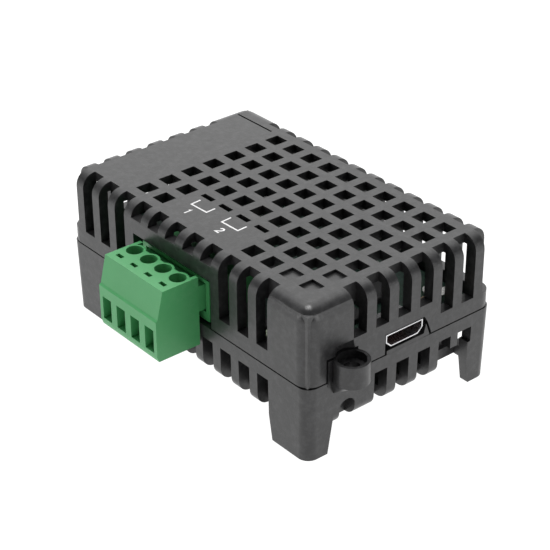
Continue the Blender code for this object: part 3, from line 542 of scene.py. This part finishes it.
def under_profile(lo, hi):
    r = FLOOR_FILLET
    i = DRAFT * (1.0 - (FLOOR_Z + r) / LOW_TOP)
    lo, hi = lo + i, hi - i
    pts = [(lo - 4.0, -2.0), (lo - 4.0, FLOOR_Z + r)]
    pts += arc(lo + r, FLOOR_Z + r, r, 180, 270, 8)
    pts += arc(hi - r, FLOOR_Z + r, r, 270, 360, 8)
    pts += [(hi + 4.0, FLOOR_Z + r), (hi + 4.0, -2.0)]
    return pts


def taper_ends(verts, axis, lo, hi, taper=0.7):
    for v in verts:
        t = (FLOOR_Z - v.co.z) / FLOOR_Z
        if abs(v.co[axis] - lo) < 1e-4:
            v.co[axis] = lo - taper * t
        elif abs(v.co[axis] - hi) < 1e-4:
            v.co[axis] = hi + taper * t


def f(b):
    lo, hi = gx(-3.29 + 2.0), gx(10.29 - 2.0)
    taper_ends(add_prism(b, under_profile(Y0, Y1), lo, hi, 0), 0, lo, hi)


lower.cut(f)


def f(b):
    lo, hi = gy(-1.29 + 1.12), gy(7.29 - 1.12)
    taper_ends(add_prism(b, under_profile(X0, X1), lo, hi, 1), 1, lo, hi)


lower.cut(f)


def f(b):
    r = FLOOR_FILLET
    pts = [(gy(5.9), -2.0), (gy(5.9), FLOOR_Z)]
    pts += arc(Y1 - DRAFT * (1.0 - (FLOOR_Z + r) / LOW_TOP) - r, FLOOR_Z + r, r, 270, 360, 8)
    pts += [(Y1 + 4.0, FLOOR_Z + r), (Y1 + 4.0, -2.0)]
    add_prism(b, pts, gx(7.9), X1 - DRAFT - TAB, 0)


lower.cut(f)
LOW_SLOT_TOP, NOTCH_Z, ARCH_Z = gz(-3.49), gz(-4.0), gz(-3.98)
LOW_DEEP = SLOT + 0.45


def f(b):
    z0, z1 = FLOOR_Z - 2.5, LOW_SLOT_TOP
    for i in range(-1, 9):
        add_box(b, gx(i) - HS, gx(i) + HS, Y0 - OPEN, Y0 + LOW_DEEP, z0, z1)
        k = 7 - i
        add_box(b, gx(k) - HS, gx(k) + HS, Y1 - LOW_DEEP, Y1 + OPEN, z0, z1)
    add_box(b, gx(9) - HS, gx(9.5), Y1 - LOW_DEEP - 0.6, Y1 + OPEN, z0, z1)
    for j in (2, 3, 4):
        add_box(b, X1 - LOW_DEEP, X1 + OPEN, gy(j) - HS, gy(j) + HS, z0, z1)
        add_box(b, X0 - OPEN, X0 + LOW_DEEP, gy(6 - j) - HS, gy(6 - j) + HS, z0, z1)


lower.cut(f)


def f(b):
    for j in (5, 6):
        p = (X1 - LOW_DEEP, X1 + OPEN, gy(j) - HS - (0.35 if j == 6 else 0.0), gy(j) + HS)
        add_box(b, p[0], p[1], p[2], p[3], NOTCH_Z - 0.5, LOW_SLOT_TOP)
        a, c = twin(p[0], p[2]), twin(p[1], p[3])
        add_box(b, c[0], a[0], c[1], a[1], NOTCH_Z - 0.5, LOW_SLOT_TOP)


lower.cut(f)


def f(b):
    p = (X1 - LOW_DEEP, X1 + OPEN, gy(4.71), gy(6.17))
    add_box(b, p[0], p[1], p[2], p[3], FLOOR_Z - 2.0, NOTCH_Z)
    a, c = twin(p[0], p[2]), twin(p[1], p[3])
    add_box(b, c[0], a[0], c[1], a[1], FLOOR_Z - 2.0, NOTCH_Z)


lower.cut(f)


def arch_profile(y0, y1):
    mid, w = (y0 + y1) / 2, (y1 - y0) / 2
    return ([(y0, FLOOR_Z - 1.6)] + [(mid + w * math.cos(math.radians(a)),
            ARCH_Z - 1.2 + 1.2 * math.sin(math.radians(a))) for a in range(180, -1, -15)]
            + [(y1, FLOOR_Z - 1.6)])


def f(b):
    y0, y1 = gy(0.16), gy(0.84)
    add_prism(b, arch_profile(y0, y1), X1 - LOW_DEEP + 0.7, X1 + OPEN, 0)
    (xa, ya), (xb, yb) = twin(X1 - LOW_DEEP + 0.7, y0), twin(X1 + OPEN, y1)
    add_prism(b, arch_profile(yb, ya), xb, xa, 0)


lower.cut(f)

for (ex, ey, es) in EARS:
    def f(b):
        vs = []
        for k in range(28):
            a = 2 * math.pi * k / 28
            vs.append(b.verts.new((ex + EAR_R * 0.98 * math.cos(a), ey + EAR_R * 0.98 * math.sin(a), LOW_TOP + 0.3)))
        for dy in (-2.2, 2.2):
            for (dx, z) in ((-3.4, LOW_TOP - 0.5), (-3.4, 10.9), (-1.75, 10.9)):
                vs.append(b.verts.new((ex + es * dx, ey + dy, z)))
        out = bmesh.ops.convex_hull(b, input=vs)
        loose = list({g for g in out["geom_interior"] + out["geom_unused"] if isinstance(g, bmesh.types.BMVert)})
        bmesh.ops.delete(b, geom=loose, context="VERTS")
    lower.join(f)
    lower.join(lambda b: add_cyl(b, ex, ey, LOW_TOP + 0.05, EAR_TOP, EAR_R, 40))

    def f(b):
        x0, x1, y0, y1 = ear_pad_box(ex, ey, es, 0.0)
        add_box(b, x0, x1, y0, y1, LOW_TOP - 0.7, EAR_TOP - 0.05)
    lower.join(f)
    lower.cut(lambda b: add_cyl(b, ex, ey, 4.0, EAR_TOP + 2.0, EAR_HOLE_R, 36))
    lower.cut(lambda b: add_cyl(b, ex, ey, EAR_TOP - 1.4, EAR_TOP + 1.0, 2.3, 36))

lower.join(lambda b: add_prism(b, [
    (gy(3.95), LOW_TOP - 0.8), (gy(4.22), LOW_TOP - 0.8), (gy(4.22), LOW_TOP + 0.2),
    (gy(4.05), LOW_TOP + 2.3), (gy(3.95), LOW_TOP + 0.6)], X1 - WALL + 0.2, X1 - 0.05, 0))
lower.join(lambda b: add_box(b, X1 - WALL, X1 - 0.02, PORT_Y - 3.75, gy(3.96), LOW_TOP - 0.6, PORT_Z0 - 0.42))


def f(b):
    for (x, y) in (BOSS, twin(*BOSS)):
        add_cyl(b, x, y, FLOOR_Z - 2.0, FLOOR_Z + 2.4, 2.5, 32)


lower.cut(f)


def f(b):
    for (x, y) in (BOSS, twin(*BOSS)):
        add_cyl(b, x, y, FLOOR_Z - 2.0, LOW_TOP + 1.0, 1.45, 24)
    for (x, y) in (POST, twin(*POST)):
        add_cyl(b, x, y, FLOOR_Z + 2.6, BOARD_TOP, 0.95, 24)


lower.cut(f)
LOWER = lower.bake([BLACK_LOW], "case", "housing_lower", edge=0.16, segments=2)

# ---- pluggable terminal ------------------------------------------------------------------------------
PX0, PX1 = pb[0].x / MM, pb[1].x / MM
PLUG_Z0, PLUG_TOP = pb[0].z / MM, pb[1].z / MM
PLUG_FRONT = pb[0].y / MM
TAIL_END = pb[1].y / MM
PLUG_BACK = Y0 - 0.35
STEP_Z, SCREW_Y = gz(-2.20), gy(-1.91)
PLUG_TOP_FRONT = gy(-2.87)
HEAD_TOP, HEAD_W, HEAD_Y0, HEAD_Y1 = HTOP, HX1 - HX0, hb[0].y / MM, hb[1].y / MM
TAIL_Z0, TAIL_Z1 = BOARD_TOP + 1.15, HEAD_TOP - 1.0
CELL_TOP, HEAD_R = 17.3, 1.42
CAGE_Z0 = PLUG_Z0 + 0.75

plug = Body("plug_moulding", lambda b: add_prism(b, [
    (PLUG_FRONT + 0.35, PLUG_Z0), (PLUG_BACK, PLUG_Z0), (PLUG_BACK, PLUG_TOP), (PLUG_TOP_FRONT, PLUG_TOP),
    (PLUG_FRONT + 0.35, STEP_Z + 0.3), (PLUG_FRONT, STEP_Z), (PLUG_FRONT, PLUG_Z0 + 1.0)], PX0, PX1, 0))
plug.join(lambda b: add_box(b, PX0 + 0.2, PX1 - 0.2, PLUG_BACK - 1.5, TAIL_END, TAIL_Z0, TAIL_Z1))
plug.cut(lambda b: add_box(b, PX0 + 0.75, PX1 - 0.75, SCREW_Y + 1.25, PLUG_BACK + 1.0, TAIL_Z1 + 0.35, PLUG_TOP + 1.0))


def f(b):
    for x in WAYS:
        add_cyl(b, x, SCREW_Y, TAIL_Z1 - 0.8, PLUG_TOP, 1.82, 40)


plug.join(f)


def f(b):
    for x in WAYS:
        add_box(b, x - 1.62, x + 1.62, SCREW_Y - 1.85, SCREW_Y + 1.75, PLUG_Z0 + 0.6, CELL_TOP)


plug.cut(f)


def f(b):
    for x in WAYS:
        add_cyl(b, x, SCREW_Y, 17.75, PLUG_TOP + 1.0, HEAD_R, 40)


plug.cut(f)


def f(b):
    for x in WAYS:
        add_cyl(b, x, SCREW_Y, CELL_TOP - 0.5, 18.2, 1.15, 28)


plug.cut(f)


def f(b):
    for x in WAYS:
        add_box(b, x - 1.15, x + 1.15, PLUG_FRONT - 1.0, SCREW_Y - 1.5, PLUG_Z0 + 1.45, PLUG_Z0 + 5.55)


plug.cut(f)


def f(b):
    for x in WAYS:
        add_box(b, x - 0.75, x + 0.75, gy(-2.62), gy(-2.46), PLUG_TOP - 3.0, PLUG_TOP + 1.0)


plug.cut(f)


def f(b):
    for x in WAYS:
        add_box(b, x - 1.25, x + 1.25, SCREW_Y + 1.2, TAIL_END - 0.9, PIN_Z - 1.25, PIN_Z + 1.25)


plug.cut(f)


def f(b):
    for x in WAYS:
        add_box(b, x - 1.25, x + 1.25, SCREW_Y + 1.0, SCREW_Y + 2.12, CAGE_Z0 + 3.4, PIN_Z + 0.4)


plug.cut(f)


def f(b):
    for x in WAYS:
        add_box(b, x - 0.75, x + 0.75, TAIL_END - 2.0, TAIL_END + 1.0, PIN_Z - 0.75, PIN_Z + 0.75)


plug.cut(f)
PLUG = plug.bake([GREEN], "plug", "plug_housing", edge=0.11, segments=2)

header = Body("header_moulding", lambda b: add_box(b, HX0, HX1, HEAD_Y0, HEAD_Y1, BOARD_TOP + 0.05, HEAD_TOP))
header.cut(lambda b: add_box(b, HX0 + 0.95, HX1 - 0.95, HEAD_Y0 - 1.0, HEAD_Y1 - 1.3, BOARD_TOP + 0.85, HEAD_TOP - 0.7))
header.join(lambda b: add_box(b, HX0, HX1, HEAD_Y0, HEAD_Y0 + 1.2, LOW_TOP + 0.25, BOARD_TOP + 0.5))


def f(b):
    for x in WAYS:
        add_box(b, x - 0.62, x + 0.62, HEAD_Y1 - 2.3, HEAD_Y1 + 1.0, PIN_Z - 0.62, PIN_Z + 0.62)


header.cut(f)
HEADER = header.bake([GREEN_HEAD], "case", "terminal_header", edge=0.1)

# ---- data socket -----------------------------------------------------------------------------------------
SX0, SX1 = sb[0].x / MM, sb[1].x / MM


def port_outline(w, z0, z1, low_w, shoulder):
    h, l = w / 2, low_w / 2
    return [(PORT_Y - l, z0), (PORT_Y + l, z0), (PORT_Y + h, shoulder), (PORT_Y + h, z1),
            (PORT_Y - h, z1), (PORT_Y - h, shoulder)]


sock = Body("socket_shell_metal", lambda b: add_prism(
    b, port_outline(PORT_W, PORT_Z0, PORT_Z1, 5.7, PORT_Z0 + 1.0), SX0, SX1, 0))
sock.cut(lambda b: add_prism(b, port_outline(PORT_W - 0.5, PORT_Z0 + 0.25, PORT_Z1 - 0.25, 5.45, PORT_Z0 + 1.08),
                             SX0 + 0.4, SX1 + 1.0, 0))
SOCK = sock.bake([SOCKET], "case", "socket_shell", edge=0.08, segments=3)

tongue = Body("socket_tongue_moulding", lambda b: add_prism(
    b, port_outline(PORT_W - 1.0, PORT_Z0 + 0.5, PORT_Z1 - 0.5, 5.0, PORT_Z0 + 1.15), SX0 + 0.55, SX0 + 1.7, 0))
tongue.join(lambda b: add_box(b, SX0 + 1.2, SX1 - 0.9, PORT_Y - 1.9, PORT_Y + 1.9, PORT_Z1 - 1.05, PORT_Z1 - 0.55))
TONGUE = tongue.bake([INSULATOR], "case", "socket_tongue", edge=0.08)

# ---- carried-over nodes get their finishes -------------------------------------------------------------------
PAIRS = [("header_pin_", TIN), ("terminal_screw_", ZINC), ("clamp_cage_", NICKEL), ("plug_contact_", TIN),
         ("case_screw_", DARK_SCREW), ("board_screw_", ZINC), ("microcontroller", CHIP),
         ("usb_bridge_chip", CHIP), ("optocoupler_", CHIP), ("voltage_regulator", CHIP),
         ("power_inductor", CHIP), ("crystal", TIN), ("climate_sensor", WHITE), ("status_lamp", LAMP),
         ("capacitor_can", ZINC), ("capacitor_", TAN), ("resistor_", CHIP)]


def board_material_shade_darkened():
    m, nt, b = new_mat("board_solder_mask_painted_shade")
    co = object_coords(nt)
    # copper tracks under the mask show as slightly raised, paler lines on a grid
    br = nt.nodes.new("ShaderNodeTexBrick")
    br.inputs["Scale"].default_value = 260.0
    br.inputs["Mortar Size"].default_value = 0.012
    # painted shade: the mask greens and the paler track lines are set far darker than the mask's own green, standing in
    # for the shade inside the closed case
    br.inputs["Color1"].default_value = (0.004, 0.036, 0.020, 1)
    br.inputs["Color2"].default_value = (0.006, 0.048, 0.027, 1)
    br.inputs["Mortar"].default_value = (0.012, 0.085, 0.048, 1)
    link(nt, co, br.inputs["Vector"])
    n = noise(nt, 300.0, 3.0, 0.5, co)
    mix = nt.nodes.new("ShaderNodeMix")
    mix.data_type, mix.blend_type = "RGBA", "MULTIPLY"
    mix.inputs["Factor"].default_value = 0.5
    link(nt, br.outputs["Color"], mix.inputs["A"])
    link(nt, n.outputs["Color"], mix.inputs["B"])
    link(nt, mix.outputs["Result"], b.inputs["Base Color"])
    b.inputs["Roughness"].default_value = 0.5
    bp = nt.nodes.new("ShaderNodeBump")
    bp.inputs["Strength"].default_value = 0.3
    bp.inputs["Distance"].default_value = 0.00003
    link(nt, br.outputs["Fac"], bp.inputs["Height"])
    link(nt, bp.outputs["Normal"], b.inputs["Normal"])
    return m


BOARD_MASK_PAINTED_SHADE = board_material_shade_darkened()
for name, ob in NODES.items():
    if ob.hide_render:
        continue
    for key, mat in PAIRS:
        if name.startswith(key):
            ob.data.materials.clear()
            ob.data.materials.append(mat)
            break
NODES["circuit_board"].data.materials.clear()
NODES["circuit_board"].data.materials.append(BOARD_MASK_PAINTED_SHADE)

# ---- printed marks on the label panel: two open brackets with a numeral ----------------------------------------


def ink_piece(name, build):
    bm = bmesh.new()
    build(bm)
    bmesh.ops.scale(bm, verts=bm.verts, vec=(MM, MM, MM))
    bmesh.ops.recalc_face_normals(bm, faces=bm.faces)
    me = bpy.data.meshes.new(name)
    bm.to_mesh(me)
    bm.free()
    ob = bpy.data.objects.new(name, me)
    bpy.context.scene.collection.objects.link(ob)
    finish_mesh(ob, [INK])
    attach(ob, "case")
    return ob


PANEL_Z = HEIGHT + 0.006


def stroke(b, pts, w):
    """A raised printed line of width w through the points, mitred at its bends."""
    ps = [Vector(p) for p in pts]
    left, rite = [], []
    for k, p in enumerate(ps):
        d0 = (p - ps[k - 1]).normalized() if k > 0 else (ps[1] - p).normalized()
        d1 = (ps[k + 1] - p).normalized() if k + 1 < len(ps) else d0
        n0, n1 = Vector((-d0.y, d0.x)), Vector((-d1.y, d1.x))
        n = (n0 + n1).normalized()
        o = n * (w / 2) / max(0.5, n.dot(n0))
        left.append(p + o)
        rite.append(p - o)
    for k in range(len(ps) - 1):
        ring = (left[k], left[k + 1], rite[k + 1], rite[k])
        lo = [b.verts.new((q.x, q.y, PANEL_Z - 0.03)) for q in ring]
        hi = [b.verts.new((q.x, q.y, PANEL_Z)) for q in ring]
        b.faces.new(hi)
        b.faces.new(list(reversed(lo)))
        for e in range(4):
            b.faces.new((lo[e], lo[(e + 1) % 4], hi[(e + 1) % 4], hi[e]))


def bracket(x0, x1, y_lo, y_hi):
    """An open bracket over two terminals: two short legs and the bar that joins them."""
    return [(gx(x0), gy(y_hi)), (gx(x0) + 0.15, gy(y_lo)), (gx(x1), gy(y_lo) + 0.15), (gx(x1) - 0.1, gy(y_hi))]


ink_piece("mark_bracket_1", lambda b: stroke(b, bracket(1.97, 2.83, 0.44, 0.87), 0.30))
ink_piece("mark_bracket_2", lambda b: stroke(b, bracket(3.69, 4.57, 0.45, 0.89), 0.30))
# the numerals under the brackets, read from the terminal side
ink_piece("mark_numeral_1", lambda b: stroke(b, [
    (gx(2.36) - 0.30, gy(0.01) + 0.42), (gx(2.36), gy(0.01) + 0.72), (gx(2.36), gy(0.01) - 0.72)], 0.30))
ink_piece("mark_numeral_2", lambda b: stroke(b, [
    (gx(4.17) - 0.40, gy(0.03) + 0.38), (gx(4.17) - 0.22, gy(0.03) + 0.66), (gx(4.17) + 0.15, gy(0.03) + 0.70),
    (gx(4.17) + 0.38, gy(0.03) + 0.42), (gx(4.17) + 0.28, gy(0.03) + 0.08), (gx(4.17) - 0.42, gy(0.03) - 0.68),
    (gx(4.17) + 0.46, gy(0.03) - 0.68)], 0.30))


# ---- stage: pale floor, soft light, camera ------------------------------------------------------------------------
def stage_floor():
    bm = bmesh.new()
    bmesh.ops.create_grid(bm, x_segments=1, y_segments=1, size=3.0)
    me = bpy.data.meshes.new("floor")
    bm.to_mesh(me)
    bm.free()
    ob = bpy.data.objects.new("floor", me)
    bpy.context.scene.collection.objects.link(ob)
    m, nt, b = new_mat("floor_white")
    b.inputs["Base Color"].default_value = (0.12, 0.12, 0.12, 1)
    b.inputs["Roughness"].default_value = 0.9
    b.inputs["Emission Color"].default_value = (1, 1, 1, 1)
    b.inputs["Emission Strength"].default_value = 1.05
    me.materials.append(m)
    ob.location.z = -0.00005
    return ob


stage_floor()

world = bpy.data.worlds.new("studio")
bpy.context.scene.world = world
bpy.context.scene.view_settings.view_transform = "Standard"
world.use_nodes = True
wn = world.node_tree
wbg = wn.nodes["Background"]
tc = wn.nodes.new("ShaderNodeTexCoord")
dot = wn.nodes.new("ShaderNodeVectorMath")
dot.operation = "DOT_PRODUCT"
dot.inputs[1].default_value = (-0.624, 0.523, 0.580)   # towards the big window behind and to the left
wn.links.new(tc.outputs["Generated"], dot.inputs[0])
wr = wn.nodes.new("ShaderNodeValToRGB")
wr.color_ramp.elements[0].position = 0.30
wr.color_ramp.elements[0].color = (0.10, 0.10, 0.102, 1)
wr.color_ramp.elements[1].position = 0.86
wr.color_ramp.elements[1].color = (1, 1, 1, 1)
mid_stop = wr.color_ramp.elements.new(0.58)
mid_stop.color = (0.30, 0.30, 0.303, 1)
wn.links.new(dot.outputs["Value"], wr.inputs["Fac"])
wn.links.new(wr.outputs["Color"], wbg.inputs["Color"])
wbg.inputs["Strength"].default_value = 1.5


def area(name, loc, target, size, power, color=(1, 1, 1)):
    l = bpy.data.lights.new(name, "AREA")
    l.energy, l.size, l.color = power, size, color
    ob = bpy.data.objects.new(name, l)
    bpy.context.scene.collection.objects.link(ob)
    ob.location = loc
    d = Vector(target) - Vector(loc)
    ob.rotation_euler = d.to_track_quat("-Z", "Y").to_euler()
    return ob


area("softbox_top", (-0.10, 0.05, 0.65), (0, 0, 0.01), 0.28, 2.4)
area("softbox_front", (-0.35, -0.75, 0.22), (0, 0, 0.012), 0.35, 1.6)
area("softbox_right", (0.80, 0.25, 0.20), (0, 0, 0.012), 0.4, 1.8)

cam_data = bpy.data.cameras.new("camera")
cam = bpy.data.objects.new("camera", cam_data)
bpy.context.scene.collection.objects.link(cam)
cam_data.lens, cam_data.sensor_width, cam_data.sensor_fit = 110.336, 36.0, "HORIZONTAL"
cam_data.clip_start, cam_data.clip_end = 0.01, 20.0
az, el, roll = math.radians(50.4496), math.radians(30.4508), math.radians(-0.3553)
back = Vector((math.sin(az) * math.cos(el), -math.cos(az) * math.cos(el), math.sin(el)))
right = Vector((math.cos(az), math.sin(az), 0))
up = back.cross(right)
r2 = right * math.cos(roll) + up * math.sin(roll)
u2 = -right * math.sin(roll) + up * math.cos(roll)
M = Matrix.Identity(4)
for k, v in enumerate((r2, u2, back)):
    for q in range(3):
        M[q][k] = v[q]
M.translation = Vector((gx(44.369) * MM, gy(-30.742) * MM, gz(27.956) * MM))
cam.matrix_world = M
bpy.context.scene.camera = cam

for t in list(scratch.objects):
    bpy.data.objects.remove(t, do_unlink=True)
